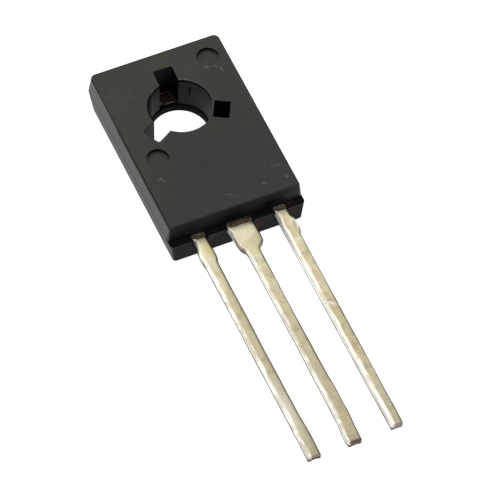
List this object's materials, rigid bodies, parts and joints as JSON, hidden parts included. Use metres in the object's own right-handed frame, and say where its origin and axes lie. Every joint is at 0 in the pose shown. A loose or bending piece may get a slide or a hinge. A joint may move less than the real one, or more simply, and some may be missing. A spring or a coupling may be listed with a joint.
{
  "type": "triac",
  "caption": "Small power triac in a flat moulded plastic package with a screw hole, a bare metal back for the heat sink and a row of straight tinned leads.",
  "frame": {"origin": "axis of the screw hole, on the back (heat-sink) face", "axes": "+Z along the screw hole, out of the plain front face; +Y away from the leads; +X to the right of someone who reads the front with the leads down"},
  "size_m": [0.0074, 0.0252, 0.0025],
  "materials": {
    "moulding": "moulded epoxy, dark grey, fine matt on the front, smoother on the sides",
    "tinned_copper": "copper under hot-dipped tin, warm grey",
    "lead_tin": "copper strip under hot-dipped tin, warm grey",
    "solder": "soft solder, dull",
    "silicon": "silicon with metal pads, grey",
    "aluminium_wire": "drawn aluminium, bright"
  },
  "bodies": {
    "root": {"moulded_body": "moulding", "mt2_header": "tinned_copper", "mt1_lead": "lead_tin", "gate_lead": "lead_tin", "die_solder": "solder", "triac_chip": "silicon", "mt1_wire": "aluminium_wire", "gate_wire": "aluminium_wire"}
  },
  "joints": []
}
